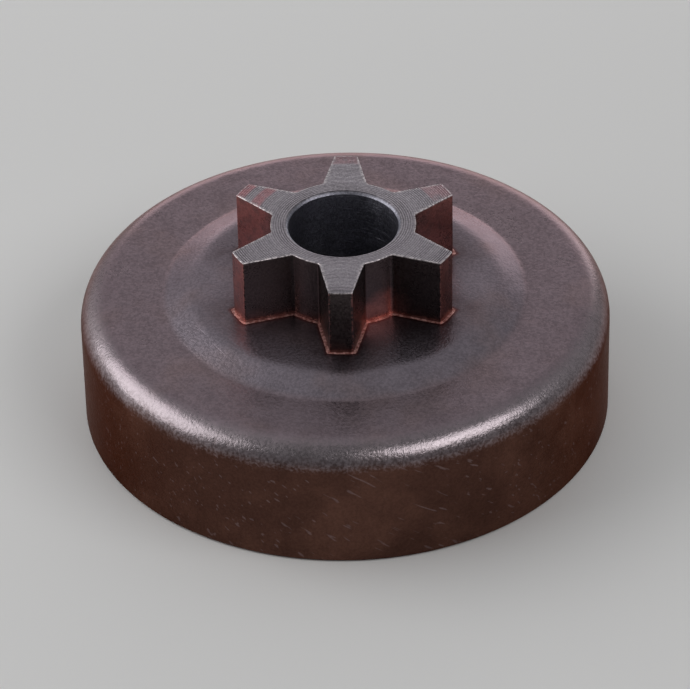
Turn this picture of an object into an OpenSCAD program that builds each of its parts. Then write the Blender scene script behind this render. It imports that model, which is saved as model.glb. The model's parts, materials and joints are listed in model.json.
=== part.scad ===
// Clutch drum with an integral spur sprocket for a small chain saw.
// A drawn steel cup stands on its open rim. The sprocket's shoulder sits on the raised centre of
// the cup's face, its spigot passes through the face, and copper braze joins the two.
// The origin is on the axis, in the plane of the rim. One tooth points along -Y.

/* [Drum] */
// Outside diameter of the cup, which the brake band grips
drum_od = 68; // [60:0.5:80]
// Height of the outer land of the face above the rim
drum_h = 17.1; // [14:0.1:24]
// Thickness of the drawn sheet
sheet_t = 2; // [1.5:0.1:2.5]
// Outside radius where the wall turns into the face
corner_r = 3.6; // [3:0.1:5]
// Edge break on both edges of the turned rim
rim_break = 0.3; // [0.1:0.1:0.6]

/* [Raised centre] */
// Diameter at the foot of the pressed step
step_foot_d = 46.8; // [44:0.2:50]
// Diameter at the crest of the pressed step
step_crest_d = 39.2; // [36:0.2:40]
// Rise of the centre above the outer land
step_rise = 1.4; // [0.8:0.1:2]
// Radius of the crisp corner at the foot of the step
step_foot_r = 0.5; // [0.3:0.1:1]
// Radius of the soft corner at the crest of the step
step_crest_r = 5; // [3:0.5:8]

/* [Sprocket] */
// Number of teeth
tooth_count = 6; // [5:1:7]
// Diameter over the tips of the teeth
tip_d = 30.4; // [29:0.1:33]
// Diameter of the gullet floors
root_d = 18.5; // [18.4:0.1:19.5]
// Width of a tooth at its tip
tip_w = 3; // [2:0.1:3.6]
// Width of a tooth where its flanks meet the gullet floors
foot_w = 5.7; // [5:0.1:6.2]
// Radius between a flank and the gullet floor
gullet_r = 0.6; // [0.5:0.1:0.8]
// Height of the teeth above the drum's raised centre
sprocket_h = 9.1; // [6:0.1:12]

/* [Hub] */
// Bore for the needle bearing
bore_d = 14; // [10:0.1:14.4]
// Chamfer at both mouths of the bore
bore_chamfer = 0.4; // [0.2:0.1:0.5]
// Diameter of the spigot that passes through the drum's face
spigot_d = 17.4; // [16.6:0.1:17.6]
// Length of spigot that stands out inside the drum
spigot_proud = 0.9; // [0.7:0.1:2]
// Edge break around the spigot's end
spigot_break = 0.2; // [0.1:0.1:0.3]

/* [Braze] */
// Leg of the copper fillet around the foot of the teeth
bead_leg = 0.4; // [0.2:0.05:0.45]
// Leg of the copper fillet around the spigot, inside the drum
ring_leg = 0.6; // [0.3:0.05:0.6]

/* [Hidden] */
$fn = 144;

drum_r = drum_od / 2;
inner_r = drum_r - sheet_t;
seat_z = drum_h + step_rise;
ceiling_z = seat_z - sheet_t;
foot_r = step_foot_d / 2;
crest_r = step_crest_d / 2;
step_angle = atan(step_rise / (foot_r - crest_r));
slope = [cos(step_angle), -sin(step_angle)];
// The sheet keeps its thickness over the step, so the inner corners move towards the axis
inner_shift = sheet_t * tan(step_angle / 2);

tip_r = tip_d / 2;
root_r = root_d / 2;
bore_r = bore_d / 2;
spigot_r = spigot_d / 2;
spigot_z = ceiling_z - spigot_proud;
top_z = seat_z + sprocket_h;
pitch_angle = 360 / tooth_count;
first_tooth = -90;

// One flank, in the tooth's own axes: x outwards along the tooth, y across it
tip_corner = [sqrt(pow(tip_r, 2) - pow(tip_w / 2, 2)), tip_w / 2];
foot_corner = [sqrt(pow(root_r, 2) - pow(foot_w / 2, 2)), foot_w / 2];
flank = (tip_corner - foot_corner) / norm(tip_corner - foot_corner);
flank_normal = [-flank.y, flank.x];
tip_half_angle = atan2(tip_corner.y, tip_corner.x);

// An arc bites this far into what it rounds, so that it crosses it cleanly
bite = 0.0005;

// Centre of the circle that rounds a flank into the gullet floor
gullet_gap = gullet_r - bite;
raised_corner = tip_corner + gullet_gap * flank_normal;
along_flank = raised_corner * flank;
gullet_reach = pow(root_r + gullet_gap, 2) - raised_corner * raised_corner;
gullet_c = raised_corner + (sqrt(pow(along_flank, 2) + gullet_reach) - along_flank) * flank;
flank_end = gullet_c - gullet_gap * flank_normal;
floor_half_angle = atan2(gullet_c.y, gullet_c.x);

steel = [0.36, 0.32, 0.33];
dark_steel = [0.27, 0.25, 0.27];
copper = [0.66, 0.36, 0.30];

// Area between a corner and the arc that rounds it. The legs are unit vectors from the corner.
// It overshoots the corner, so that none of its edges lies on a leg, unless overshoot is 0.
module corner_web(corner, leg_a, leg_b, radius, overshoot = 0.4) {
    half = acos(leg_a * leg_b) / 2;
    middle = (leg_a + leg_b) / norm(leg_a + leg_b);
    touch = radius / tan(half);
    centre = corner + middle * radius / sin(half);
    difference() {
        polygon([corner - overshoot * middle, corner + touch * leg_a, centre, corner + touch * leg_b]);
        translate(centre) circle(r = radius + bite);
    }
}

// Outside of the drum as a half section: wall, corner, outer land, step and raised centre
module drum_outside() {
    difference() {
        union() {
            polygon([
                [0, 0],
                [drum_r - rim_break, 0],
                [drum_r, rim_break],
                [drum_r, drum_h],
                [foot_r, drum_h],
                [crest_r, seat_z],
                [0, seat_z]
            ]);
            corner_web([foot_r, drum_h], [1, 0], -slope, step_foot_r);
        }
        corner_web([drum_r, drum_h], [-1, 0], [0, -1], corner_r);
        corner_web([crest_r, seat_z], [-1, 0], slope, step_crest_r);
    }
}

// Inside of the drum as a half section, one sheet thickness within the outside
module drum_inside() {
    land_z = drum_h - sheet_t;
    below = 1;
    difference() {
        union() {
            polygon([
                [0, -below],
                [inner_r + rim_break + below, -below],
                [inner_r, rim_break],
                [inner_r, land_z],
                [foot_r - inner_shift, land_z],
                [crest_r - inner_shift, ceiling_z],
                [0, ceiling_z]
            ]);
            corner_web([foot_r - inner_shift, land_z], [1, 0], -slope, step_foot_r + sheet_t);
        }
        corner_web([inner_r, land_z], [-1, 0], [0, -1], corner_r - sheet_t);
        corner_web([crest_r - inner_shift, ceiling_z], [-1, 0], slope, step_crest_r - sheet_t);
    }
}

module drum_cup() {
    color(steel) rotate_extrude() difference() {
        drum_outside();
        drum_inside();
        square([spigot_r, seat_z + 1]);
    }
}

// The web that rounds one flank into the gullet floor. It starts inside the steel on both sides.
module gullet_web() {
    difference() {
        polygon([[0, 0], gullet_c, gullet_c - 2 * gullet_r * flank_normal]);
        translate(gullet_c) circle(r = gullet_r);
    }
}

// A tooth with straight flanks that run on past the tips and down into the hub
module tooth_outline() {
    beyond = tip_corner + flank;
    polygon([
        [0, -foot_corner.y],
        [foot_corner.x, -foot_corner.y],
        [beyond.x, -beyond.y],
        beyond,
        foot_corner,
        [0, foot_corner.y]
    ]);
    gullet_web();
    mirror([0, 1]) gullet_web();
}

module sprocket_outline() {
    intersection() {
        circle(r = tip_r);
        union() {
            circle(r = root_r);
            for (i = [0 : tooth_count - 1])
                rotate(first_tooth + i * pitch_angle) tooth_outline();
        }
    }
}

// The bore with a chamfer at each mouth, as a half section
module bore_section() {
    polygon([
        [0, spigot_z - 1],
        [bore_r + bore_chamfer + 1, spigot_z - 1],
        [bore_r, spigot_z + bore_chamfer],
        [bore_r, top_z - bore_chamfer],
        [bore_r + bore_chamfer + 1, top_z + 1],
        [0, top_z + 1]
    ]);
}

module spigot() {
    rotate_extrude() polygon([
        [0, spigot_z],
        [spigot_r - spigot_break, spigot_z],
        [spigot_r, spigot_z + spigot_break],
        [spigot_r, seat_z],
        [0, seat_z]
    ]);
}

module sprocket() {
    color(dark_steel) difference() {
        union() {
            translate([0, 0, seat_z]) linear_extrude(sprocket_h) sprocket_outline();
            spigot();
        }
        rotate_extrude() bore_section();
    }
}

// Points of the outline with the direction that faces away from the steel, as [x, y, nx, ny]
function outline_point(p, n) = [p.x, p.y, n.x, n.y];
function polar(angle) = [cos(angle), sin(angle)];
function heading(v) = atan2(v.y, v.x);

edge_step = 0.12;
gullet_steps = 5;
floor_steps = 3;
tip_turn = tip_half_angle / 2;
floor_turn = (pitch_angle / 2 - floor_half_angle) / floor_steps;
// Points around a tip or a floor stand out a little, so that the chords between them clear the steel
tip_point_r = tip_r / cos(tip_turn / 2);
floor_point_r = root_r / cos(floor_turn / 2);

// Half a tooth, from the middle of its tip to the middle of the gullet beside it
half_tooth = [
    outline_point(tip_point_r * polar(0), polar(0)),
    outline_point(tip_point_r * polar(tip_turn), polar(tip_turn)),
    outline_point(tip_corner - edge_step * polar(tip_half_angle + 90), polar(tip_half_angle)),
    outline_point(tip_corner, polar((tip_half_angle + heading(flank_normal)) / 2)),
    outline_point(tip_corner - edge_step * flank, flank_normal),
    outline_point((tip_corner + flank_end) / 2, flank_normal),
    for (i = [0 : gullet_steps])
        let (turn = heading(flank_normal) + (floor_half_angle - heading(flank_normal)) * i / gullet_steps)
        outline_point(gullet_c - gullet_r * polar(turn), polar(turn)),
    for (i = [1 : floor_steps])
        let (turn = floor_half_angle + i * floor_turn)
        outline_point(floor_point_r * polar(turn), polar(turn))
];

// The same half reflected across the middle of the gullet, without the points that both share
function reflect(v) = [
    v.x * cos(pitch_angle) + v.y * sin(pitch_angle),
    v.x * sin(pitch_angle) - v.y * cos(pitch_angle)
];
function turned(v, a) = [v.x * cos(a) - v.y * sin(a), v.x * sin(a) + v.y * cos(a)];
one_pitch = [
    each half_tooth,
    for (i = [len(half_tooth) - 2 : -1 : 1])
        let (p = half_tooth[i])
        outline_point(reflect([p[0], p[1]]), reflect([p[2], p[3]]))
];
whole_outline = [
    for (k = [0 : tooth_count - 1])
        let (a = first_tooth + k * pitch_angle)
        for (p = one_pitch)
            outline_point(turned([p[0], p[1]], a), turned([p[2], p[3]], a))
];

// Section of the outer fillet: the seat corner, then the hollow curve from the face to the flank
bead_steps = 4;
bead_section = [
    [0, 0],
    for (i = [0 : bead_steps])
        let (a = 90 * i / bead_steps)
        [bead_leg * (1 - sin(a)), bead_leg * (1 - cos(a))]
];

// The copper fillet that follows the foot of every tooth
module outer_bead() {
    around = len(whole_outline);
    ring = len(bead_section);
    points = [
        for (p = whole_outline)
            for (s = bead_section)
                [p[0] + s[0] * p[2], p[1] + s[0] * p[3], seat_z + s[1]]
    ];
    faces = [
        for (i = [0 : around - 1])
            for (j = [0 : ring - 1])
                let (a = i * ring + j)
                let (b = i * ring + (j + 1) % ring)
                let (c = ((i + 1) % around) * ring + (j + 1) % ring)
                let (d = ((i + 1) % around) * ring + j)
                each [[a, b, c], [a, c, d]]
    ];
    polyhedron(points, faces);
}

// The copper ring where the spigot comes out inside the drum
module inner_ring() {
    rotate_extrude() corner_web([spigot_r, ceiling_z], [1, 0], [0, -1], ring_leg, 0);
}

module braze_joint() {
    color(copper) outer_bead();
    color(copper) inner_ring();
}

drum_cup();
sprocket();
braze_joint();
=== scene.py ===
"""Clutch drum with a brazed six-tooth spur sprocket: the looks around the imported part.

Sizes are in millimetres and become metres where a mesh, a lamp or the camera is made.
The drum stands on its open rim, +Z runs along the axis, and one tooth points along -Y.
"""

import json
import logging
import math
from dataclasses import dataclass, field
from enum import Enum
from functools import cached_property

import bmesh
import bpy
from mathutils import Matrix, Vector, noise


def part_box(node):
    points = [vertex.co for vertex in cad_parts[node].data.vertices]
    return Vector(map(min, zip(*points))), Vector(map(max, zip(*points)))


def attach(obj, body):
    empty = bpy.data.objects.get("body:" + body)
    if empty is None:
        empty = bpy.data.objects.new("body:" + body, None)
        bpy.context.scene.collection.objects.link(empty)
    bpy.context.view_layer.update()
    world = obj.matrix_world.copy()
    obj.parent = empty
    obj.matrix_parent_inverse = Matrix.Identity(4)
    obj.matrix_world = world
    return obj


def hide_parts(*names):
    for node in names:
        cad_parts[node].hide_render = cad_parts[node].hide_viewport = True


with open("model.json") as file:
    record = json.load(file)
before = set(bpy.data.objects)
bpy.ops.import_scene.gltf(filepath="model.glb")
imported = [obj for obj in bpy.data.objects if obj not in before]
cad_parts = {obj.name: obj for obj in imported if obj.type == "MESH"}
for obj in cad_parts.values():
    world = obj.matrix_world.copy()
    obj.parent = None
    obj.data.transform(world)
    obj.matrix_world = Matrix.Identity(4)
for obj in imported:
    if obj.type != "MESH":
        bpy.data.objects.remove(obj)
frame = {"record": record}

log = logging.getLogger("clutch_drum")

MM = 0.001


class Slot(Enum):
    """The record's material slots."""

    DRUM = "drum_steel"
    SPROCKET = "sprocket_steel"
    BRAZE = "braze_copper"


class Mark(Enum):
    """Point attributes that say where a finish changes, and where burrs, painted highlights and painted light go."""

    INSIDE = "inside"
    EDGE_BURR_AND_HIGHLIGHT = "edge"
    ARRIS_HIGHLIGHT = "arris_highlight"
    BLOOM_AND_LIT_SIDE = "bloom"


def mount_size(name: str, size: str) -> float:
    """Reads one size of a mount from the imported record.

    Args:
        name: The mount's name.
        size: The key of the size in its dims.

    Returns:
        The size in millimetres.
    """
    found = next(mount for mount in frame["record"]["mounts"] if mount["name"] == name)
    return float(found["dims"][size])


def node_top(node: str) -> float:
    """Returns the height of a node's highest point, in millimetres."""
    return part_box(node)[1].z / MM


def node_foot(node: str) -> float:
    """Returns the height of a node's lowest point, in millimetres."""
    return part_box(node)[0].z / MM


def polar(angle: float, radius: float = 1.0) -> Vector:
    """Returns the plane point at an angle in radians and a radius."""
    return Vector((radius * math.cos(angle), radius * math.sin(angle)))


@dataclass(frozen=True)
class Corner:
    """A corner of a turned section: its radius from the axis, its height and the radius that rounds it."""

    r: float
    z: float
    rounding: float = 0.0

    @property
    def point(self) -> Vector:
        """Returns the corner as a plane point."""
        return Vector((self.r, self.z))


@dataclass(frozen=True)
class Section:
    """A run of corners that becomes an evenly divided line with true arcs."""

    corners: tuple[Corner, ...]
    spacing: float = 0.8
    arc_step: float = math.radians(4.5)

    def _arc(self, before: Vector, corner: Corner, after: Vector) -> list[Vector]:
        """Rounds one corner.

        Args:
            before: The point that the line comes from.
            corner: The corner.
            after: The point that the line goes on to.

        Returns:
            The points of the arc, or the corner alone where it isn't rounded.
        """
        here = corner.point
        if corner.rounding <= 0:
            return [here]
        back = (before - here).normalized()
        on = (after - here).normalized()
        half = math.acos(max(-1.0, min(1.0, back.dot(on)))) / 2
        touch = corner.rounding / math.tan(half)
        centre = here + (back + on).normalized() * corner.rounding / math.sin(half)
        first = here + back * touch - centre
        turn = math.pi - 2 * half
        side = 1.0 if back.x * on.y - back.y * on.x < 0 else -1.0
        steps = max(2, round(turn / self.arc_step))
        start = math.atan2(first.y, first.x)
        return [centre + polar(start + side * turn * i / steps, corner.rounding) for i in range(steps + 1)]

    def points(self) -> list[Vector]:
        """Returns the line's points. The ends of an open line are never rounded."""
        spots = [corner.point for corner in self.corners]
        line = [spots[0]]
        for i in range(1, len(spots) - 1):
            line += self._arc(spots[i - 1], self.corners[i], spots[i + 1])
        line.append(spots[-1])
        even = [line[0]]
        for start, end in zip(line, line[1:]):
            pieces = max(1, math.ceil((end - start).length / self.spacing))
            even += [start.lerp(end, i / pieces) for i in range(1, pieces + 1)]
        return even


def add_mark(mesh: bpy.types.Mesh, mark: Mark, values: list[float]) -> None:
    """Stores one value for each point of a mesh.

    Args:
        mesh: The mesh.
        mark: The attribute to write.
        values: One value for each vertex.
    """
    layer = mesh.attributes.new(mark.value, "FLOAT", "POINT")
    layer.data.foreach_set("value", values)


def make_mesh(name: str, points: list[tuple[float, float, float]], faces: list[tuple[int, ...]]) -> bpy.types.Mesh:
    """Makes a mesh from points in millimetres.

    Args:
        name: The mesh's name.
        points: The points, in millimetres.
        faces: The faces, each anticlockwise when seen from outside.

    Returns:
        The mesh, in metres.
    """
    mesh = bpy.data.meshes.new(name)
    mesh.from_pydata([tuple(value * MM for value in point) for point in points], [], faces)
    mesh.validate()
    mesh.shade_smooth()
    return mesh


def add_object(name: str, data: bpy.types.ID) -> bpy.types.Object:
    """Links a new object that holds the data and returns it."""
    made = bpy.data.objects.new(name, data)
    bpy.context.scene.collection.objects.link(made)
    return made


class Graph:
    """Adds nodes to a shader or geometry tree and hands their sockets on."""

    def __init__(self, tree: bpy.types.NodeTree) -> None:
        """Keeps the tree that the nodes go into."""
        self.tree = tree

    def node(self, kind: str, **settings: object) -> bpy.types.Node:
        """Adds a node of a kind and sets its properties."""
        made = self.tree.nodes.new(kind)
        for name, value in settings.items():
            setattr(made, name, value)
        return made

    def feed(self, socket: bpy.types.NodeSocket, value: object) -> None:
        """Links a socket to another, or sets its value."""
        if isinstance(value, bpy.types.NodeSocket):
            self.tree.links.new(value, socket)
        else:
            socket.default_value = value

    def math(self, operation: str, *values: object) -> bpy.types.NodeSocket:
        """Adds a Math node."""
        made = self.node("ShaderNodeMath", operation=operation)
        for socket, value in zip(made.inputs, values):
            self.feed(socket, value)
        return made.outputs[0]

    def add(self, first: object, second: object) -> bpy.types.NodeSocket:
        """Adds two values."""
        return self.math("ADD", first, second)

    def multiply(self, first: object, second: object) -> bpy.types.NodeSocket:
        """Multiplies two values."""
        return self.math("MULTIPLY", first, second)

    def product(self, *values: object) -> bpy.types.NodeSocket:
        """Multiplies several values."""
        result = values[0]
        for value in values[1:]:
            result = self.multiply(result, value)
        return result

    def total(self, *values: object) -> bpy.types.NodeSocket:
        """Adds several values."""
        result = values[0]
        for value in values[1:]:
            result = self.add(result, value)
        return result

    def vector(self, operation: str, *values: object) -> bpy.types.NodeSocket:
        """Adds a Vector Math node and returns its vector."""
        made = self.node("ShaderNodeVectorMath", operation=operation)
        for socket, value in zip(made.inputs, values):
            self.feed(socket, value)
        return made.outputs["Vector"]

    def combine(self, x: object, y: object, z: object) -> bpy.types.NodeSocket:
        """Joins three values into a vector."""
        made = self.node("ShaderNodeCombineXYZ")
        for socket, value in zip(made.inputs, (x, y, z)):
            self.feed(socket, value)
        return made.outputs[0]

    def split(self, vector: bpy.types.NodeSocket) -> list[bpy.types.NodeSocket]:
        """Splits a vector into its three values."""
        made = self.node("ShaderNodeSeparateXYZ")
        self.feed(made.inputs[0], vector)
        return list(made.outputs)

    def noise(self, vector: object, scale: float, detail: float = 2.0, roughness: float = 0.5) -> bpy.types.NodeSocket:
        """Adds a noise between 0 and 1, around a half."""
        made = self.node("ShaderNodeTexNoise")
        for name, value in (("Vector", vector), ("Scale", scale), ("Detail", detail), ("Roughness", roughness)):
            self.feed(made.inputs[name], value)
        return made.outputs["Fac"]

    def step(self, value: object, low: object, high: object, start: float = 0.0, end: float = 1.0) -> bpy.types.NodeSocket:
        """Maps a value smoothly from low and high to start and end."""
        made = self.node("ShaderNodeMapRange", interpolation_type="SMOOTHSTEP")
        for socket, given in zip(made.inputs, (value, low, high, start, end)):
            self.feed(socket, given)
        return made.outputs[0]

    def window(self, value: object, low: float, high: float, soft: float) -> bpy.types.NodeSocket:
        """Returns 1 between low and high, fading to 0 over a soft width on both sides."""
        rise = self.step(value, low - soft, low + soft)
        fall = self.step(value, high - soft, high + soft, 1.0, 0.0)
        return self.multiply(rise, fall)

    def blend(self, factor: object, first: object, second: object) -> bpy.types.NodeSocket:
        """Mixes two numbers."""
        made = self.node("ShaderNodeMix", data_type="FLOAT")
        for socket, value in zip(made.inputs[:1] + made.inputs[2:4], (factor, first, second)):
            self.feed(socket, value)
        return made.outputs[0]

    def tint(self, factor: object, first: object, second: object, blend_type: str = "MIX") -> bpy.types.NodeSocket:
        """Mixes two colours."""
        made = self.node("ShaderNodeMix", data_type="RGBA", blend_type=blend_type)
        sockets = [made.inputs[0], made.inputs[6], made.inputs[7]]
        for socket, value in zip(sockets, (factor, first, second)):
            self.feed(socket, opaque(value))
        return made.outputs[2]

    def attribute(self, mark: Mark) -> bpy.types.NodeSocket:
        """Reads a point attribute in a shader."""
        return self.node("ShaderNodeAttribute", attribute_name=mark.value).outputs["Fac"]

    def bump(self, height: object, strength: float = 1.0) -> bpy.types.NodeSocket:
        """Turns a height in millimetres into a normal."""
        made = self.node("ShaderNodeBump")
        made.inputs["Strength"].default_value = strength
        made.inputs["Distance"].default_value = MM
        self.feed(made.inputs["Height"], height)
        return made.outputs["Normal"]


def opaque(colour: object) -> object:
    """Adds an alpha of 1 to a colour of three numbers and leaves anything else as it is."""
    if isinstance(colour, tuple) and len(colour) == 3:
        return (*colour, 1.0)
    return colour


Colour = tuple[float, float, float]


class Surface(Graph):
    """A material's tree with the coordinates that all the finishes of a turned part share."""

    def __init__(self, name: str) -> None:
        """Makes the material, its shader and its coordinates in millimetres."""
        self.material = bpy.data.materials.new(name)
        self.material.use_nodes = True
        super().__init__(self.material.node_tree)
        self.shader = self.tree.nodes["Principled BSDF"]
        where = self.node("ShaderNodeTexCoord").outputs["Object"]
        self.place = self.vector("MULTIPLY", where, (1 / MM, 1 / MM, 1 / MM))
        self.x, self.y, self.z = self.split(self.place)
        self.radius = self.math("SQRT", self.add(self.multiply(self.x, self.x), self.multiply(self.y, self.y)))
        self.angle = self.math("ARCTAN2", self.y, self.x)

    def around(self, axis_scale: float, radius_scale: float, height_scale: float) -> bpy.types.NodeSocket:
        """Returns coordinates that follow the turning, so that a noise on them can be stretched along it.

        Args:
            axis_scale: Scale of the direction's two values, which holds for every turn round the axis.
            radius_scale: Scale of the radius.
            height_scale: Scale of the height.

        Returns:
            A vector with no seam at any angle.
        """
        direction = self.vector("NORMALIZE", self.combine(self.x, self.y, 0.0))
        east, north, _ = self.split(direction)
        turned = self.add(self.multiply(self.radius, radius_scale), self.multiply(self.z, height_scale))
        return self.combine(self.multiply(east, axis_scale), self.multiply(north, axis_scale), turned)

    def toward(self, azimuth: float, spread: float) -> bpy.types.NodeSocket:
        """Returns 1 in the direction of an azimuth in degrees, fading to 0 at the spread on both sides of it."""
        ahead = polar(math.radians(azimuth))
        along = self.add(self.multiply(self.x, ahead.x), self.multiply(self.y, ahead.y))
        cosine = self.math("DIVIDE", along, self.math("MAXIMUM", self.radius, 0.01))
        return self.step(cosine, math.cos(math.radians(spread)), math.cos(math.radians(spread / 3)))

    def speckle(self, scale: float, low: float, high: float) -> bpy.types.NodeSocket:
        """Returns a fine grain of the given features per millimetre, stretched to run from low to high."""
        return self.step(self.noise(self.place, scale, 1.0, 0.6), 0.34, 0.66, low, high)

    def scratches(self, lie: tuple[float, float, float], length: float, width: float) -> bpy.types.NodeSocket:
        """Returns 1 on sparse thin streaks and 0 elsewhere.

        Args:
            lie: Turns, in degrees, that lay the streaks down from the X axis.
            length: How far a streak runs, in millimetres.
            width: How far apart two streaks can lie, in millimetres.

        Returns:
            The streaks.
        """
        laid = self.node("ShaderNodeMapping", vector_type="TEXTURE")
        self.feed(laid.inputs["Vector"], self.place)
        laid.inputs["Rotation"].default_value = [math.radians(turn) for turn in lie]
        laid.inputs["Scale"].default_value = (length, width, width)
        return self.step(self.noise(laid.outputs[0], 1.0, 1.0, 0.5), 0.66, 0.74)

    def teeth_distance(self, form: "ToothForm", first_tooth: float) -> bpy.types.NodeSocket:
        """Returns the distance from the toothed outline, in millimetres, below zero inside it."""
        pitch = 2 * form.half_pitch
        turned = self.add(self.angle, 2 * math.pi + pitch / 2 - math.radians(first_tooth))
        folded = self.math("ABSOLUTE", self.add(self.math("MODULO", turned, pitch), -pitch / 2))
        along = self.multiply(self.radius, self.math("COSINE", folded))
        across = self.multiply(self.radius, self.math("SINE", folded))
        out = form.flank_out
        flank = self.total(self.multiply(along, out.x), self.multiply(across, out.y), -form.tip_corner.dot(out))
        tooth = self.math("MAXIMUM", flank, self.add(self.radius, -form.tip_r))
        return self.math("MINIMUM", tooth, self.add(self.radius, -form.root_r))

    def set(self, **inputs: object) -> None:
        """Feeds the shader's inputs. A name's underscores stand for spaces."""
        for name, value in inputs.items():
            self.feed(self.shader.inputs[name.replace("_", " ")], opaque(value))


@dataclass(frozen=True)
class DrumFinish:
    """Drawn steel with the brown and purple bloom of the brazing furnace, burnished over the corner, with painted
    shade and a painted reflection of the sprocket round its foot, and a specular tint that paints the pink reflection
    of a cloth.
    """

    land: Colour = (0.285, 0.225, 0.250)
    centre: Colour = (0.275, 0.235, 0.268)
    warm: Colour = (0.290, 0.215, 0.220)
    wall: Colour = (0.086, 0.041, 0.031)
    wall_warm: Colour = (0.128, 0.062, 0.046)
    burnished: Colour = (0.42, 0.37, 0.39)
    soot_and_shade: Colour = (0.125, 0.098, 0.108)
    # A dark tone inside the cup, which also serves as the painted shade round the sprocket's foot.
    halo: Colour = (0.160, 0.050, 0.048)
    turned: Colour = (0.30, 0.27, 0.26)
    ceiling: Colour = (0.095, 0.078, 0.076)
    # Specular tint that paints the pink reflection of a cloth into the steel's sheen.
    cloth_reflection_tint: Colour = (0.60, 0.44, 0.41)

    def build(self, drum: "Drum") -> bpy.types.Material:
        """Builds the material.

        Args:
            drum: The drum, whose sizes place the changes of finish.

        Returns:
            The material.
        """
        s = Surface("furnace_toned_drum_steel")
        clouds = s.noise(s.place, 0.10, 3.0, 0.55)
        blotches = s.noise(s.place, 0.32, 4.0, 0.65)
        grain = s.speckle(2.6, -1.0, 1.0)
        fine = s.speckle(5.0, -1.0, 1.0)

        corner_r = drum.drum_r - drum.corner_r
        corner_z = drum.drum_h - drum.corner_r
        turn = s.math("ARCTAN2", s.add(s.z, -corner_z), s.add(s.radius, -corner_r))
        turn = s.multiply(turn, 180 / math.pi)
        ragged = s.total(turn, s.multiply(s.add(blotches, -0.5), 16.0), s.multiply(grain, 4.0))
        on_face = s.step(ragged, 2.0, 58.0)
        burnish = s.window(ragged, 26.0, 66.0, 20.0)
        raised = s.step(s.radius, drum.step_foot_r + 0.1, drum.step_foot_r - 0.9)

        colour = s.tint(raised, self.land, self.centre)
        colour = s.tint(s.step(clouds, 0.46, 0.72, 0.0, 0.55), colour, self.warm)
        apart = s.teeth_distance(drum.form, drum.first_tooth)
        # Painted shade and painted reflection of the sprocket: the face is darkened in blotches within a few
        # millimetres of the teeth.
        hub_shade = s.step(apart, 5.5, 0.5)
        colour = s.tint(s.multiply(hub_shade, s.step(blotches, 0.30, 0.62, 0.2, 0.85)), colour, self.soot_and_shade)
        colour = s.tint(s.product(s.step(apart, 0.95, 0.35), s.step(s.z, drum.seat_z - 0.3, drum.seat_z - 0.1), 0.8),
                        colour, self.halo)
        wall = s.tint(s.step(clouds, 0.40, 0.68), self.wall, self.wall_warm)
        marks = s.scratches((0.0, 35.0, 10.0), 4.0, 0.5)
        wall = s.tint(s.multiply(marks, 0.35), wall, self.warm)
        colour = s.tint(on_face, wall, colour)
        colour = s.tint(s.multiply(burnish, 0.7), colour, self.burnished)
        speck = s.total(1.0, s.multiply(grain, 0.10), s.multiply(fine, 0.05), s.multiply(s.add(blotches, -0.5), 0.5))
        colour = s.tint(1.0, colour, s.combine(speck, speck, speck), "MULTIPLY")

        inside = s.attribute(Mark.INSIDE)
        rings = s.noise(s.around(0.6, 0.0, 9.0), 1.0, 2.0, 0.7)
        running = s.multiply(s.step(s.radius, drum.inner_r - 0.6, drum.inner_r - 0.1), inside)
        within = s.tint(s.step(clouds, 0.4, 0.7), self.ceiling, self.soot_and_shade)
        within = s.tint(running, within, self.turned)
        colour = s.tint(inside, colour, within)

        rough = s.total(0.34, s.multiply(s.add(clouds, -0.5), 0.20), s.multiply(grain, 0.04))
        rough = s.blend(on_face, s.add(rough, 0.06), rough)
        rough = s.blend(s.multiply(burnish, 0.8), rough, s.add(0.27, s.multiply(fine, 0.04)))
        rough = s.blend(running, rough, 0.26)

        scuffs = s.math("MAXIMUM", s.scratches((0.0, 0.0, 38.0), 6.0, 0.45), s.scratches((0.0, 0.0, -55.0), 5.0, 0.4))
        streaks = s.noise(s.around(150.0, 1.2, 1.2), 1.0, 2.0, 0.6)
        height = s.total(
            s.multiply(grain, 0.0045),
            s.multiply(fine, 0.0016),
            s.multiply(blotches, 0.05),
            s.multiply(scuffs, -0.006),
            s.product(streaks, burnish, 0.012),
            s.product(rings, running, 0.02),
        )
        # The specular tint paints a reflected pink cloth.
        s.set(Base_Color=colour, Metallic=1.0, Roughness=rough, Specular_Tint=self.cloth_reflection_tint, Normal=s.bump(height))
        return s.material


@dataclass(frozen=True)
class StainPatch:
    """Copper bloom on the sprocket's end face: its direction, its reach along the radius and its strength."""

    azimuth: float
    spread: float
    inner: float
    outer: float
    strength: float


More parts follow.
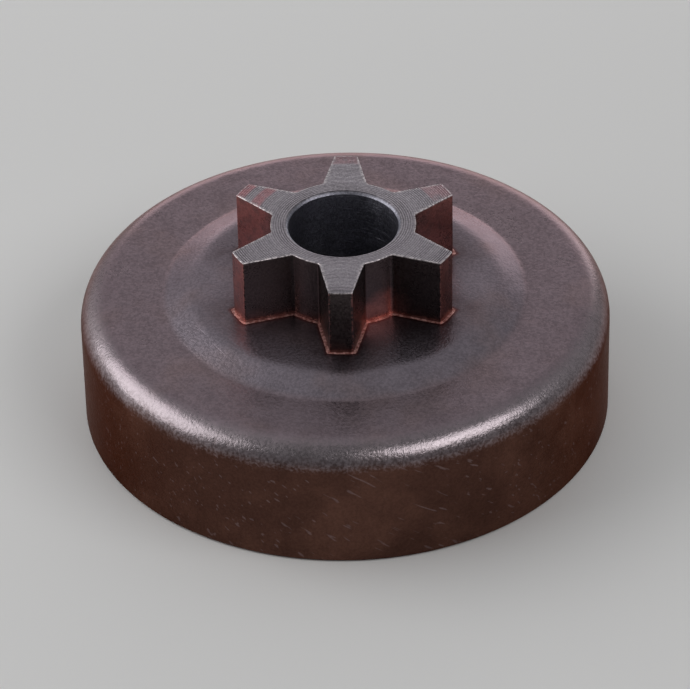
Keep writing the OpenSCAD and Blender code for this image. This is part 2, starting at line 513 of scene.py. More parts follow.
@dataclass(frozen=True)
class SprocketFinish:
    """Cut steel that the furnace darkened, with copper bloom where braze crept up it, painted shade in the turning
    grooves, painted light on the sides that face the lamps, and painted highlights on the upper edges and the tips'
    upright corners.
    """

    end_face: Colour = (0.43, 0.385, 0.42)
    # Painted shade for the valleys of the turning grooves.
    groove: Colour = (0.15, 0.130, 0.145)
    flank: Colour = (0.090, 0.074, 0.074)
    # Copper tone, partly real bloom and partly painted light on the sides that face the lamps.
    bloom: Colour = (0.300, 0.120, 0.105)
    copper: Colour = (0.42, 0.190, 0.165)
    stain: Colour = (0.52, 0.240, 0.26)
    # Burr steel, partly, and a painted highlight that lightens the upper edges.
    bare_and_highlight: Colour = (0.80, 0.72, 0.73)
    bore: Colour = (0.30, 0.295, 0.345)
    patches: tuple[StainPatch, ...] = (
        StainPatch(150.0, 22.0, 14.0, 15.6, 0.85),
        StainPatch(151.0, 20.0, 11.4, 12.8, 0.80),
        StainPatch(33.0, 12.0, 12.4, 15.2, 0.45),
        StainPatch(91.0, 12.0, 13.4, 15.2, 0.40),
    )

    def build(self, sprocket: "Sprocket") -> bpy.types.Material:
        """Builds the material.

        Args:
            sprocket: The sprocket, whose sizes place the changes of finish.

        Returns:
            The material.
        """
        s = Surface("furnace_toned_sprocket_steel")
        clouds = s.noise(s.place, 0.22, 3.0, 0.6)
        blotches = s.noise(s.place, 0.8, 3.0, 0.6)
        grain = s.speckle(3.0, -1.0, 1.0)
        pits = s.speckle(5.5, -1.0, 1.0)
        rings = s.noise(s.around(1.2, 2.2, 0.0), 1.0, 2.0, 0.6)

        on_end = s.step(s.z, sprocket.top_z - 0.14, sprocket.top_z - 0.07)
        bore = s.step(s.radius, sprocket.bore_r + 0.45, sprocket.bore_r + 0.15)
        edge = s.attribute(Mark.EDGE_BURR_AND_HIGHLIGHT)
        arris_highlight = s.attribute(Mark.ARRIS_HIGHLIGHT)

        stain = 0.0
        for patch in self.patches:
            band = s.window(s.radius, patch.inner, patch.outer, 0.25)
            lobe = s.product(s.toward(patch.azimuth, patch.spread), band, patch.strength)
            stain = s.math("MAXIMUM", stain, lobe)
        stain = s.multiply(stain, s.step(blotches, 0.30, 0.52, 0.45, 1.0))

        depth = s.add(sprocket.top_z, s.multiply(s.z, -1.0))
        # The valleys of the turning grooves are painted darker: painted shade in the grooves.
        face = s.tint(s.step(depth, 0.0, sprocket.groove_depth), self.end_face, self.groove)
        face = s.tint(stain, face, self.stain)
        shade = s.total(0.78, s.multiply(rings, 0.40), s.multiply(grain, 0.12), s.multiply(pits, 0.08))
        face = s.tint(1.0, face, s.combine(shade, shade, shade), "MULTIPLY")

        rise = s.add(s.z, -sprocket.seat_z)
        creep = s.add(rise, s.multiply(s.add(clouds, -0.5), -6.0))
        wet = s.step(creep, 2.6, 0.2, 0.0, 0.16)
        pool = s.product(s.toward(297.0, 26.0), s.step(creep, 4.2, 1.0), s.step(s.radius, 12.5, 10.5), 0.85)
        # Partly copper bloom, partly painted light: the sides that face the left and right lamps are painted lighter.
        bloom = s.attribute(Mark.BLOOM_AND_LIT_SIDE)
        side = s.tint(s.multiply(bloom, s.step(blotches, 0.25, 0.6, 0.55, 1.0)), self.flank, self.bloom)
        side = s.tint(s.math("MAXIMUM", wet, pool), side, self.copper)
        # Painted highlight in a copper tone on the upright corners of the tips.
        side = s.tint(s.multiply(arris_highlight, s.step(grain, -0.6, 0.9, 0.0, 0.55)), side, self.copper)
        flecks = s.total(1.0, s.multiply(grain, 0.10), s.multiply(pits, 0.07))
        side = s.tint(1.0, side, s.combine(flecks, flecks, flecks), "MULTIPLY")
        colour = s.tint(on_end, side, face)
        hollow = s.total(1.0, s.multiply(grain, 0.18), s.multiply(pits, 0.10))
        colour = s.tint(bore, colour, s.tint(1.0, self.bore, s.combine(hollow, hollow, hollow), "MULTIPLY"))
        # Partly real burrs and partly a painted highlight: the upper edges are painted far lighter than the end face.
        colour = s.tint(s.multiply(edge, s.step(grain, -0.9, 0.9, 0.15, 1.0)), colour, self.bare_and_highlight)

        cuts = s.noise(s.around(42.0, 0.0, 0.25), 1.0, 2.0, 0.6)
        reamed = s.noise(s.around(0.8, 0.0, 14.0), 1.0, 2.0, 0.7)
        rough = s.total(0.32, s.multiply(s.add(clouds, -0.5), 0.15), s.multiply(grain, 0.04))
        rough = s.blend(on_end, rough, 0.34)
        rough = s.blend(bore, rough, 0.38)
        height = s.total(
            s.multiply(grain, 0.0035),
            s.multiply(pits, 0.0015),
            s.multiply(cuts, 0.012),
            s.product(reamed, bore, 0.05),
        )
        s.set(Base_Color=colour, Metallic=1.0, Roughness=rough, Normal=s.bump(height))
        return s.material


@dataclass(frozen=True)
class CopperFinish:
    """Dull pink braze with brighter and browner stretches."""

    pink: Colour = (0.92, 0.50, 0.45)
    brown: Colour = (0.42, 0.17, 0.15)

    def build(self) -> bpy.types.Material:
        """Builds the material."""
        s = Surface("dull_braze_copper")
        beads = s.speckle(2.2, 0.0, 1.0)
        colour = s.tint(beads, self.brown, self.pink)
        s.set(Base_Color=colour, Metallic=0.6, Roughness=0.34, Normal=s.bump(s.multiply(beads, 0.02)))
        return s.material


@dataclass
class Drum:
    """The drawn cup, turned from its section."""

    drum_r: float = field(default_factory=lambda: mount_size("band_face", "r_mm"))
    inner_r: float = field(default_factory=lambda: mount_size("shoe_face", "r_mm"))
    seat_z: float = field(default_factory=lambda: node_top("drum_cup"))
    step_rise: float = 1.4
    step_foot_r: float = 23.4
    step_crest_r: float = 19.6
    foot_rounding: float = 1.6
    crest_rounding: float = 5.0
    corner_r: float = 3.6
    rim_break: float = 0.3
    hole_r: float = 8.7
    form: "ToothForm" = field(default_factory=lambda: ToothForm())
    first_tooth: float = -90.0
    segments: int = 240
    unevenness: float = 0.035
    uneven_length: float = 11.0

    @property
    def drum_h(self) -> float:
        """Returns the height of the outer land."""
        return self.seat_z - self.step_rise

    @property
    def sheet(self) -> float:
        """Returns the thickness of the sheet."""
        return self.drum_r - self.inner_r

    def outside(self) -> list[Vector]:
        """Returns the outside of the section, from the rim to the edge of the hole."""
        soft = self.rim_break * 0.4
        return Section((
            Corner((self.drum_r + self.inner_r) / 2, 0.0),
            Corner(self.drum_r - self.rim_break, 0.0, soft),
            Corner(self.drum_r, self.rim_break, soft),
            Corner(self.drum_r, self.drum_h, self.corner_r),
            Corner(self.step_foot_r, self.drum_h, self.foot_rounding),
            Corner(self.step_crest_r, self.seat_z, self.crest_rounding),
            Corner(self.hole_r, self.seat_z),
        )).points()

    def inside(self) -> list[Vector]:
        """Returns the inside of the section, from the edge of the hole back to the rim."""
        slope = math.atan2(self.step_rise, self.step_foot_r - self.step_crest_r)
        shift = self.sheet * math.tan(slope / 2)
        soft = self.rim_break * 0.4
        return Section((
            Corner(self.hole_r, self.seat_z - self.sheet),
            Corner(self.step_crest_r - shift, self.seat_z - self.sheet, self.crest_rounding - self.sheet),
            Corner(self.step_foot_r - shift, self.drum_h - self.sheet, self.foot_rounding + self.sheet),
            Corner(self.inner_r, self.drum_h - self.sheet, self.corner_r - self.sheet),
            Corner(self.inner_r, self.rim_break, soft),
            Corner(self.inner_r + self.rim_break, 0.0, soft),
            Corner((self.drum_r + self.inner_r) / 2, 0.0),
        )).points()

    def mesh(self) -> bpy.types.Mesh:
        """Turns the section round the axis."""
        outer = self.outside()
        inner = self.inside()[:-1]
        section = outer + inner
        count = len(section)
        points = []
        for i in range(self.segments):
            way = polar(2 * math.pi * i / self.segments)
            points += [(spot.x * way.x, spot.x * way.y, spot.y) for spot in section]
        faces = []
        for i in range(self.segments):
            here, there = i * count, (i + 1) % self.segments * count
            faces += [(here + j, there + j, there + (j + 1) % count, here + (j + 1) % count) for j in range(count)]
        mesh = make_mesh("drum_cup_dressed", points, faces)
        add_mark(mesh, Mark.INSIDE, ([0.0] * len(outer) + [1.0] * len(inner)) * self.segments)
        self._wave(mesh)
        mesh.set_sharp_from_angle(angle=math.radians(35))
        return mesh

    def _wave(self, mesh: bpy.types.Mesh) -> None:
        """Presses the surface in a little, unevenly, as drawing leaves it."""
        normals = [vertex.normal.copy() for vertex in mesh.vertices]
        for vertex, normal in zip(mesh.vertices, normals):
            depth = 0.5 - 0.5 * noise.noise(vertex.co / (self.uneven_length * MM))
            vertex.co -= normal * depth * self.unevenness * MM

    def dress(self) -> bpy.types.Object:
        """Makes the piece with its finish, hangs it on the root body and hides the part that it stands in for."""
        piece = add_object("drum_cup_dressed", self.mesh())
        piece.data.materials.append(DrumFinish().build(self))
        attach(piece, "root")
        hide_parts("drum_cup")
        return piece


@dataclass(frozen=True)
class Station:
    """A point of the sprocket's outline, with the direction that faces out of the steel."""

    point: Vector
    out: Vector


@dataclass(frozen=True)
class ToothForm:
    """The form of one tooth, along +X, with straight flanks that round into the gullets."""

    teeth: int = 6
    tip_r: float = 15.2
    root_r: float = 9.25
    tip_w: float = 3.0
    foot_w: float = 5.7
    gullet_r: float = 0.6

    @property
    def half_pitch(self) -> float:
        """Returns half the angle from tooth to tooth."""
        return math.pi / self.teeth

    @cached_property
    def tip_corner(self) -> Vector:
        """Returns the corner between the tip and the flank."""
        return Vector((math.sqrt(self.tip_r ** 2 - (self.tip_w / 2) ** 2), self.tip_w / 2))

    @cached_property
    def flank(self) -> Vector:
        """Returns the flank's direction, from its foot to the tip."""
        foot = Vector((math.sqrt(self.root_r ** 2 - (self.foot_w / 2) ** 2), self.foot_w / 2))
        return (self.tip_corner - foot).normalized()

    @cached_property
    def flank_out(self) -> Vector:
        """Returns the direction that faces out of the flank."""
        return Vector((-self.flank.y, self.flank.x))

    @cached_property
    def gullet(self) -> Vector:
        """Returns the centre of the circle that rounds the flank into the floor."""
        raised = self.tip_corner + self.gullet_r * self.flank_out
        along = raised.dot(self.flank)
        reach = (self.root_r + self.gullet_r) ** 2 - raised.dot(raised)
        return raised + (math.sqrt(along ** 2 + reach) - along) * self.flank

    @property
    def floor_angle(self) -> float:
        """Returns the angle at which the gullet's floor begins."""
        return math.atan2(self.gullet.y, self.gullet.x)

    def station(self, radius: float, inset: float) -> Station:
        """Finds the tooth's side at a radius.

        Args:
            radius: Distance from the axis.
            inset: How far inside the true outline the side is taken.

        Returns:
            The point on the side with positive y, and the way out of the steel there.
        """
        arc = self.gullet_r + inset
        end = self.gullet - arc * self.flank_out
        if radius >= end.length:
            start = self.tip_corner - inset * self.flank_out
            along = start.dot(self.flank)
            move = math.sqrt(along ** 2 - start.dot(start) + radius ** 2) - along
            return Station(start + move * self.flank, self.flank_out)
        reach = self.gullet.length
        cosine = (radius ** 2 + reach ** 2 - arc ** 2) / (2 * radius * reach)
        point = polar(self.floor_angle - math.acos(max(-1.0, min(1.0, cosine))), radius)
        return Station(point, (self.gullet - point).normalized())


@dataclass
class Sprocket:
    """The sprocket: one tooth's sector as a mesh, repeated round the axis by geometry nodes."""

    form: ToothForm = field(default_factory=ToothForm)
    seat_z: float = field(default_factory=lambda: node_top("drum_cup"))
    top_z: float = field(default_factory=lambda: node_top("sprocket"))
    spigot_z: float = field(default_factory=lambda: node_foot("sprocket"))
    bore_r: float = field(default_factory=lambda: mount_size("bearing_bore", "r_mm"))
    spigot_r: float = 8.7
    spigot_break: float = 0.2
    chamfer: float = 0.4
    edge_r: float = 0.1
    groove_pitch: float = 0.30
    groove_depth: float = 0.04
    rows_per_groove: int = 5
    tooth_columns: int = 12
    floor_columns: int = 5
    wall_rows: int = 6
    burr: float = 0.03
    first_tooth: float = -90.0

    def _groove(self, radius: float, angle: float) -> float:
        """Returns how deep the turning has cut at a place on the end face."""
        phase = 2 * math.pi * radius / self.groove_pitch
        wander = noise.noise(Vector((*polar(angle, 1.5), radius * 0.6)))
        return self.groove_depth * (0.75 + 0.5 * wander) * (0.5 - 0.5 * math.cos(phase))

    def _radii(self, low: float, high: float) -> list[float]:
        """Returns evenly spaced radii, several to each groove."""
        count = max(1, round((high - low) / self.groove_pitch * self.rows_per_groove))
        return [low + (high - low) * i / count for i in range(count + 1)]

    def _floor_angles(self) -> list[float]:
        """Returns the angles of the columns of one sector, from gullet to gullet."""
        floor, half = self.form.floor_angle, self.form.half_pitch
        left = [-half + (half - floor) * i / self.floor_columns for i in range(self.floor_columns)]
        tooth = [-floor + 2 * floor * i / self.tooth_columns for i in range(self.tooth_columns + 1)]
        return left + tooth + [-angle for angle in reversed(left)]

    def _bore_line(self) -> list[tuple[float, float]]:
        """Returns the line from the bore's upper mouth down to the shoulder, as radius and height."""
        line = Section((
            Corner(self.bore_r + self.chamfer, self.top_z),
            Corner(self.bore_r, self.top_z - self.chamfer, 0.08),
            Corner(self.bore_r, self.spigot_z + self.chamfer, 0.08),
            Corner(self.bore_r + self.chamfer, self.spigot_z, 0.05),
            Corner(self.spigot_r - self.spigot_break, self.spigot_z, 0.08),
            Corner(self.spigot_r, self.spigot_z + self.spigot_break, 0.08),
            Corner(self.spigot_r, self.seat_z),
        ), spacing=1.4, arc_step=math.radians(15)).points()
        return [(spot.x, spot.y) for spot in line]

    def sector(self) -> bpy.types.Mesh:
        """Builds the sector of one tooth, along +X, closed but for the two sides that meet its neighbours."""
        form, inset = self.form, self.edge_r
        points: list[tuple[float, float, float]] = []
        faces: list[tuple[int, ...]] = []
        edge: list[float] = []
        arris_highlight: list[float] = []

        def place(spot: Vector, height: float, sharp: float = 0.0, upright: float = 0.0) -> int:
            """Adds a point with its marks and returns its number."""
            points.append((spot.x, spot.y, height))
            edge.append(sharp)
            arris_highlight.append(upright)
            return len(points) - 1

        def strip(first: list[int], second: list[int]) -> None:
            """Joins two rows of points of equal length, the first nearer the axis."""
            for a, b, c, d in zip(first, second, second[1:], first[1:]):
                faces.append((a, b, c, d))

        angles = self._floor_angles()
        mouth = self.bore_r + self.chamfer
        inner = [
            [place(polar(a, r), self.top_z - self._groove(r, a), 0.12 if r == mouth else 0.0) for a in angles]
            for r in self._radii(mouth, form.root_r - inset)
        ]
        for first, second in zip(inner, inner[1:]):
            strip(first, second)

        root_row = inner[-1]
        gullet_row = root_row[self.floor_columns:-self.floor_columns]
        near_root = [form.root_r - inset + rise for rise in (0.004, 0.013, 0.028)]
        outer = []
        last = gullet_row
        for radius in near_root + self._radii(form.root_r - inset + 0.05, form.tip_r - inset):
            side = form.station(radius, inset).point
            half = math.atan2(side.y, side.x)
            spread = [half * (2 * i / self.tooth_columns - 1) for i in range(self.tooth_columns + 1)]
            row = [place(polar(a, radius), self.top_z - self._groove(radius, a)) for a in spread]
            strip(last, row)
            outer.append((radius, row))
            last = row

        rim: list[tuple[int, Vector, Vector, float]] = []

        def rest_on(number: int, out: Vector, upright: float = 0.0) -> None:
            """Notes a point of the end face's border and the way out of the steel there."""
            rim.append((number, Vector(points[number][:2]), out, upright))

        for number, angle in zip(root_row[:self.floor_columns + 1], angles):
            rest_on(number, polar(angle))
        flip = Vector((1.0, -1.0))
        for radius, row in outer[:-1]:
            rest_on(row[0], form.station(radius, inset).out * flip)
        tip_row = outer[-1][1]
        tip_turn = math.atan2(points[tip_row[-1]][1], points[tip_row[-1]][0])
        flank_turn = math.atan2(form.flank_out.y, form.flank_out.x)
        fan = [tip_turn + (flank_turn - tip_turn) * i / 4 for i in range(5)]
        for turn in reversed(fan):
            rest_on(tip_row[0], polar(-turn), 1.0)
        for number in tip_row[1:-1]:
            rest_on(number, Vector(points[number][:2]).normalized())
        for turn in fan:
            rest_on(tip_row[-1], polar(turn), 1.0)
        for radius, row in reversed(outer[:-1]):
            rest_on(row[-1], form.station(radius, inset).out)
        for number, angle in zip(root_row[-self.floor_columns - 1:], angles[-self.floor_columns - 1:]):
            rest_on(number, polar(angle))

        # The end face's border takes the burrs and the painted edge highlight.
        for number, _, _, _ in rim:
            edge[number] = 0.8
        drops = [(math.radians(90 - 30 * i)) for i in (1, 2, 3)]
        below = self.top_z - 2 * inset
        heights = [below - (below - self.seat_z) * i / self.wall_rows for i in range(self.wall_rows + 1)]
        columns = []
        for number, spot, out, upright in rim:
            column = [number]
            for lean in drops:
                reach = spot + out * inset * math.cos(lean)
                height = self.top_z - inset + inset * math.sin(lean)
                column.append(place(reach, height, 1.0 if lean > 0.1 else 0.3, upright))
            column += [place(spot + out * inset, height, 0.0, upright) for height in heights]
            columns.append(column)
        for left, right in zip(columns, columns[1:]):
            for (a, d), (b, c) in zip(zip(left, right), zip(left[1:], right[1:])):
                faces.append((a, b, c) if a == d else (a, b, c, d))

        line = self._bore_line()
        last = inner[0]
        for radius, height in line[1:]:
            row = [place(polar(a, radius), height) for a in angles]
            strip(row, last)
            last = row
        faces.append(tuple([column[-1] for column in reversed(columns)] + last))

        mesh = make_mesh("sprocket_sector", points, faces)
        add_mark(mesh, Mark.EDGE_BURR_AND_HIGHLIGHT, edge)
        add_mark(mesh, Mark.ARRIS_HIGHLIGHT, arris_highlight)
        return mesh

    def _bloom_and_lit_side(self, vertex: bpy.types.MeshVertex) -> float:
        """Returns how much copper bloom and painted light lie at a point: most on the sides that face the left and
        right lamps, far out.
        """
        sideways = (abs(vertex.normal.x) - 0.35) / 0.35
        outward = (abs(vertex.co.x) / MM - 7.5) / 3.0
        return max(0.0, min(1.0, sideways)) * max(0.0, min(1.0, outward))

    def _ring_tree(self) -> bpy.types.NodeTree:
        """Builds the geometry nodes that repeat a sector round the axis and roughen its upper edges."""
        tree = bpy.data.node_groups.new("toothed_ring", "GeometryNodeTree")
        inputs = (
            ("Geometry", "NodeSocketGeometry", None),
            ("Teeth", "NodeSocketInt", self.form.teeth),
            ("First Tooth", "NodeSocketFloat", math.radians(self.first_tooth)),
            ("Seam", "NodeSocketFloat", 0.001 * MM),
            ("Burr", "NodeSocketFloat", self.burr * MM),
            ("Burrs Per Metre", "NodeSocketFloat", 1.6 / MM),
            ("Material", "NodeSocketMaterial", None),
        )
        for name, kind, value in inputs:
            socket = tree.interface.new_socket(name, in_out="INPUT", socket_type=kind)
            if value is not None:
                socket.default_value = value
        tree.interface.new_socket("Geometry", in_out="OUTPUT", socket_type="NodeSocketGeometry")
        g = Graph(tree)
        given = g.node("NodeGroupInput").outputs
        spots = g.node("GeometryNodePoints")
        g.feed(spots.inputs["Count"], given["Teeth"])
        step = g.math("DIVIDE", 2 * math.pi, given["Teeth"])
        turn = g.add(g.multiply(g.node("GeometryNodeInputIndex").outputs[0], step), given["First Tooth"])
        ring = g.node("GeometryNodeInstanceOnPoints")
        g.feed(ring.inputs["Points"], spots.outputs[0])
        g.feed(ring.inputs["Instance"], given["Geometry"])
        g.feed(ring.inputs["Rotation"], g.combine(0.0, 0.0, turn))
        solid = g.node("GeometryNodeRealizeInstances")
        g.feed(solid.inputs["Geometry"], ring.outputs[0])
        joined = g.node("GeometryNodeMergeByDistance")
        g.feed(joined.inputs["Geometry"], solid.outputs[0])
        g.feed(joined.inputs["Distance"], given["Seam"])
        sharp = g.node("GeometryNodeInputNamedAttribute", data_type="FLOAT")
        sharp.inputs["Name"].default_value = Mark.EDGE_BURR_AND_HIGHLIGHT.value
        ragged = g.add(g.noise(g.node("GeometryNodeInputPosition").outputs[0], given["Burrs Per Metre"], 2.0), -0.5)
        push = g.product(ragged, sharp.outputs[0], given["Burr"])
        shifted = g.node("GeometryNodeSetPosition")
        g.feed(shifted.inputs["Geometry"], joined.outputs[0])
        scaled = g.node("ShaderNodeVectorMath", operation="SCALE")
        g.feed(scaled.inputs[0], g.node("GeometryNodeInputNormal").outputs[0])
        g.feed(scaled.inputs["Scale"], push)
        g.feed(shifted.inputs["Offset"], scaled.outputs[0])
        finish = g.node("GeometryNodeSetMaterial")
        g.feed(finish.inputs["Geometry"], shifted.outputs[0])
        g.feed(finish.inputs["Material"], given["Material"])
        g.feed(g.node("NodeGroupOutput").inputs[0], finish.outputs[0])
        return tree

    def dress(self) -> bpy.types.Object:
        """Makes the piece with its finish, hangs it on the root body and hides the part that it stands in for."""
        sector = add_object("sprocket_sector", self.sector())
        piece = grow(sector, "sprocket_dressed", self._ring_tree(), Material=SprocketFinish().build(self))
        # Marks the sides that face the left and right lamps, for copper bloom and painted light.
        add_mark(piece.data, Mark.BLOOM_AND_LIT_SIDE, [self._bloom_and_lit_side(vertex) for vertex in piece.data.vertices])
        piece.data.set_sharp_from_angle(angle=math.radians(38))
        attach(piece, "root")
        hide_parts("sprocket")
        return piece


def grow(source: bpy.types.Object, name: str, tree: bpy.types.NodeTree, **inputs: object) -> bpy.types.Object:
    """Runs a geometry tree on an object and keeps the result as a plain mesh.

    Args:
        source: The object that the tree starts from. It is removed.
        name: The new object's name.
        tree: The geometry tree.
        inputs: Values by the names of the tree's inputs, with underscores for spaces.

    Returns:
        The new object, with no modifier.
    """
    modifier = source.modifiers.new("grow", "NODES")
    modifier.node_group = tree
    sockets = {item.name: item.identifier for item in tree.interface.items_tree if item.in_out == "INPUT"}
    for key, value in inputs.items():
        modifier[sockets[key.replace("_", " ")]] = value
    bpy.context.view_layer.update()
    ready = source.evaluated_get(bpy.context.evaluated_depsgraph_get())
    mesh = bpy.data.meshes.new_from_object(ready)
    mesh.name = name
    bpy.data.objects.remove(source)
    return add_object(name, mesh)


@dataclass
class Braze:
    """The copper fillets, which geometry nodes sweep along the foot of the teeth and round the spigot."""

    form: ToothForm = field(default_factory=ToothForm)
    seat_z: float = field(default_factory=lambda: node_top("drum_cup"))
    ceiling_z: float = 16.5
    spigot_r: float = 8.7
    bead_leg: float = 0.4
    ring_leg: float = 0.6
    first_tooth: float = -90.0

    def outline(self) -> list[Vector]:
        """Returns the closed outline of the foot of the teeth, anticlockwise."""
        form = self.form
        radii = [form.root_r + rise for rise in (0.0, 0.02, 0.07, 0.16, 0.3)]
        top = form.tip_r - 0.01
        radii += [0.45 + form.root_r + (top - form.root_r - 0.45) * i / 14 for i in range(15)]
        side = [form.station(radius, 0.0).point for radius in radii]
        tip_turn = math.atan2(form.tip_corner.y, form.tip_corner.x)
        tip = [polar(tip_turn * i / 4, form.tip_r) for i in range(-4, 5)]
        floor = [polar(angle, form.root_r) for angle in (
            form.floor_angle + (form.half_pitch - form.floor_angle) * i / 4 for i in range(1, 4))]
        middle = polar(form.half_pitch, form.root_r)
        flip = Vector((1.0, -1.0))
        half = [point * flip for point in reversed(floor)] + [point * flip for point in side]
        tooth = half + tip + list(reversed(side)) + floor + [middle]
        turned = []
        for k in range(form.teeth):
            spin = Matrix.Rotation(math.radians(self.first_tooth) + 2 * form.half_pitch * k, 2)
            turned += [spin @ point for point in tooth]
        return turned

    def circle(self) -> list[Vector]:
        """Returns the circle where the spigot comes out inside the drum."""
        return [polar(2 * math.pi * i / 144, self.spigot_r) for i in range(144)]

    def _fillet(self, up: float) -> list[tuple[float, float, float]]:
        """Returns the fillet's section: the corner, then the hollow curve. It rises for up = 1 and hangs for -1."""
        turns = [math.radians(15 * i) for i in range(7)]
        return [(0.0, 0.0, 0.0)] + [(1 - math.sin(a), up * (1 - math.cos(a)), 0.0) for a in turns]

    def _sweep_tree(self) -> bpy.types.NodeTree:
        """Builds the geometry nodes that sweep a section along a path with an uneven width."""
        tree = bpy.data.node_groups.new("braze_fillet", "GeometryNodeTree")
        inputs = (
            ("Geometry", "NodeSocketGeometry", None),
            ("Section", "NodeSocketObject", None),
            ("Leg", "NodeSocketFloat", self.bead_leg * MM),
            ("Unevenness", "NodeSocketFloat", 0.5),
            ("Waves Per Metre", "NodeSocketFloat", 0.35 / MM),
            ("Material", "NodeSocketMaterial", None),
        )
        for name, kind, value in inputs:
            socket = tree.interface.new_socket(name, in_out="INPUT", socket_type=kind)
            if value is not None:
                socket.default_value = value
        tree.interface.new_socket("Geometry", in_out="OUTPUT", socket_type="NodeSocketGeometry")
        g = Graph(tree)
        given = g.node("NodeGroupInput").outputs
        path = g.node("GeometryNodeMeshToCurve")
        g.feed(path.inputs["Mesh"], given["Geometry"])
        level = g.node("GeometryNodeSetCurveNormal", mode="Z_UP")
        g.feed(level.inputs["Curve"], path.outputs[0])
        shape = g.node("GeometryNodeObjectInfo")
        g.feed(shape.inputs["Object"], given["Section"])
        section = g.node("GeometryNodeMeshToCurve")
        g.feed(section.inputs["Mesh"], shape.outputs["Geometry"])
        ripple = g.noise(g.node("GeometryNodeInputPosition").outputs[0], given["Waves Per Metre"], 3.0, 0.6)
        width = g.add(1.0, g.multiply(g.add(ripple, -0.5), given["Unevenness"]))
        sweep = g.node("GeometryNodeCurveToMesh")
        g.feed(sweep.inputs["Curve"], level.outputs[0])
        g.feed(sweep.inputs["Profile Curve"], section.outputs[0])
        g.feed(sweep.inputs["Scale"], g.multiply(width, given["Leg"]))
        solid = g.node("GeometryNodeRealizeInstances")
        g.feed(solid.inputs["Geometry"], sweep.outputs[0])
        finish = g.node("GeometryNodeSetMaterial")
        g.feed(finish.inputs["Geometry"], solid.outputs[0])
        g.feed(finish.inputs["Material"], given["Material"])
        g.feed(g.node("NodeGroupOutput").inputs[0], finish.outputs[0])
        return tree

    def _loop(self, name: str, points: list[tuple[float, float, float]], scale: float) -> bpy.types.Object:
        """Makes an object of one closed run of edges."""
        count = len(points)
        mesh = bpy.data.meshes.new(name)
        mesh.from_pydata([tuple(value * scale for value in point) for point in points],
                         [(i, (i + 1) % count) for i in range(count)], [])
        return add_object(name, mesh)

    def dress(self) -> bpy.types.Object:
        """Makes the piece with its finish, hangs it on the root body and hides the part that it stands in for."""
        tree = self._sweep_tree()
        material = CopperFinish().build()
        runs = (
            ("foot_fillet", [(p.x, p.y, self.seat_z) for p in self.outline()], 1.0, self.bead_leg),
            ("spigot_fillet", [(p.x, p.y, self.ceiling_z) for p in self.circle()], -1.0, self.ring_leg),
        )
        parts = []
        for name, points, up, leg in runs:
            section = self._loop(name + "_section", self._fillet(up), 1.0)
            path = self._loop(name + "_path", points, MM)
            parts.append(grow(path, name, tree, Section=section, Leg=leg * MM, Material=material))
            bpy.data.objects.remove(section)
        piece = merge("braze_joint_dressed", parts)
        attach(piece, "root")
        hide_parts("braze_joint")
        return piece


def merge(name: str, parts: list[bpy.types.Object]) -> bpy.types.Object:
    """Joins objects that sit at the origin into one, with normals that face out."""
    whole = bmesh.new()
    for part in parts:
        whole.from_mesh(part.data)
    bmesh.ops.recalc_face_normals(whole, faces=whole.faces)
    mesh = bpy.data.meshes.new(name)
    whole.to_mesh(mesh)
    whole.free()
    for material in parts[0].data.materials:
        mesh.materials.append(material)
    for part in parts:
        bpy.data.objects.remove(part)
    for polygon in mesh.polygons:
        polygon.use_smooth = True
    mesh.set_sharp_from_angle(angle=math.radians(50))
    return add_object(name, mesh)


@dataclass(frozen=True)
class Viewpoint:
    """The camera's place, seen from the middle of the rim, and where it looks."""

    distance: float = 575.8
    azimuth: float = 2.025
    elevation: float = 37.228
    aim_x: float = -0.11
    aim_z: float = 8.45
    roll: float = -1.248
    lens: float = 230.27
    sensor: float = 36.0

    def build(self) -> bpy.types.Object:
        """Makes the camera and gives it to the scene."""
        a, e = math.radians(self.azimuth), math.radians(self.elevation)
        spot = Vector((math.sin(a) * math.cos(e), -math.cos(a) * math.cos(e), math.sin(e))) * self.distance
        back = (spot - Vector((self.aim_x, 0.0, self.aim_z))).normalized()
        right = (-back).cross(Vector((0.0, 0.0, 1.0))).normalized()
        up = right.cross(-back)
        turn = math.radians(self.roll)
        level = right * math.cos(turn) + up * math.sin(turn)
        upright = up * math.cos(turn) - right * math.sin(turn)
        data = bpy.data.cameras.new("camera")
        data.lens = self.lens
        data.sensor_width = self.sensor
        data.clip_start = 10 * MM
        camera = add_object("camera", data)
        place = Matrix((level, upright, back)).transposed().to_4x4()
        place.translation = spot * MM
        camera.matrix_world = place
        bpy.context.scene.camera = camera
        return camera


@dataclass(frozen=True)
class Softbox:
    """A soft lamp: where it stands as seen from the drum, its size and its brightness."""

    name: str
    azimuth: float
    elevation: float
    distance: float
    width: float
    height: float
    radiance: float
    colour: Colour = (1.0, 1.0, 1.0)

    def build(self) -> bpy.types.Object:
        """Makes the lamp, facing the drum."""
        way = polar(math.radians(self.azimuth), math.cos(math.radians(self.elevation)))
        back = Vector((way.x, way.y, math.sin(math.radians(self.elevation))))
        data = bpy.data.lights.new(self.name, "AREA")
        data.shape = "RECTANGLE"
        data.size = self.width * MM
        data.size_y = self.height * MM
        data.energy = self.radiance * 4 * data.size * data.size_y
        data.color = self.colour
        lamp = add_object(self.name, data)
        lamp.location = back * self.distance * MM
        lamp.rotation_euler = back.to_track_quat("Z", "Y").to_euler()
        lamp.visible_camera = False
        return lamp


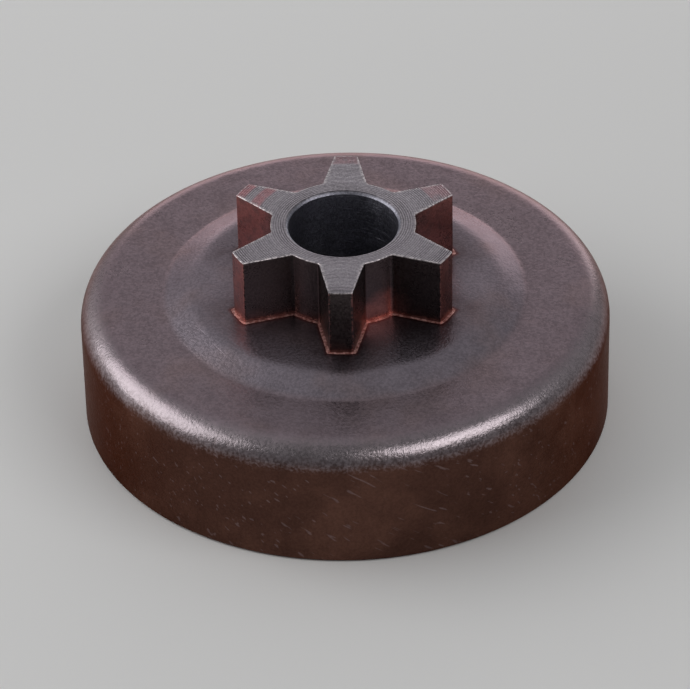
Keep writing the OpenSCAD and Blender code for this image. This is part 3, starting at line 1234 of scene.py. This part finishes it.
@dataclass
class Studio:
    """The pale floor, the soft light and the camera."""

    viewpoint: Viewpoint = field(default_factory=Viewpoint)
    softboxes: tuple[Softbox, ...] = (
        Softbox("left_softbox", 180.0, 33.0, 420.0, 460.0, 320.0, 1.15),
        Softbox("right_softbox", -36.0, 46.0, 520.0, 420.0, 240.0, 1.7),
        Softbox("back_card", 84.0, 10.0, 260.0, 260.0, 120.0, 1.0),
    )
    floor: Colour = (0.84, 0.83, 0.82)
    floor_size: float = 6000.0
    sky: Colour = (0.96, 0.98, 1.0)
    front: float = 0.14
    back: float = 0.40
    lean: float = 0.40
    background: float = 0.82

    def _floor(self) -> bpy.types.Object:
        """Makes the floor, a plain pale sheet."""
        half = self.floor_size / 2
        mesh = make_mesh("floor", [(-half, -half, 0), (half, -half, 0), (half, half, 0), (-half, half, 0)], [(0, 1, 2, 3)])
        material = bpy.data.materials.new("pale_floor")
        material.use_nodes = True
        shader = material.node_tree.nodes["Principled BSDF"]
        shader.inputs["Base Color"].default_value = opaque(self.floor)
        shader.inputs["Roughness"].default_value = 0.9
        shader.inputs["Specular IOR Level"].default_value = 0.2
        mesh.materials.append(material)
        floor = add_object("floor", mesh)
        return floor

    def _world(self) -> None:
        """Makes a plain sky, dim in front, brighter behind and to the left, and pale wherever the camera sees it."""
        world = bpy.data.worlds.new("studio")
        world.use_nodes = True
        g = Graph(world.node_tree)
        sky = g.node("ShaderNodeTexCoord").outputs["Generated"]
        across, depth, _ = g.split(sky)
        level = g.blend(g.step(depth, -0.45, 0.45), self.front, self.back)
        level = g.multiply(level, g.add(1.0, g.multiply(across, -self.lean)))
        seen = g.node("ShaderNodeLightPath").outputs["Is Camera Ray"]
        background = world.node_tree.nodes["Background"]
        g.feed(background.inputs["Color"], opaque(self.sky))
        g.feed(background.inputs["Strength"], g.blend(seen, level, self.background))
        bpy.context.scene.world = world

    def build(self) -> None:
        """Sets the studio up."""
        self.viewpoint.build()
        for softbox in self.softboxes:
            softbox.build()
        self._floor()
        self._world()
        bpy.context.scene.view_settings.view_transform = "Standard"


def main() -> None:
    """Builds the studio and the three pieces."""
    logging.basicConfig(level=logging.INFO, format="%(name)s: %(message)s")
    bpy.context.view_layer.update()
    Studio().build()
    for part in (Drum(), Sprocket(), Braze()):
        piece = part.dress()
        log.info("%s has %d faces", piece.name, len(piece.data.polygons))


if __name__ == "__main__":
    main()
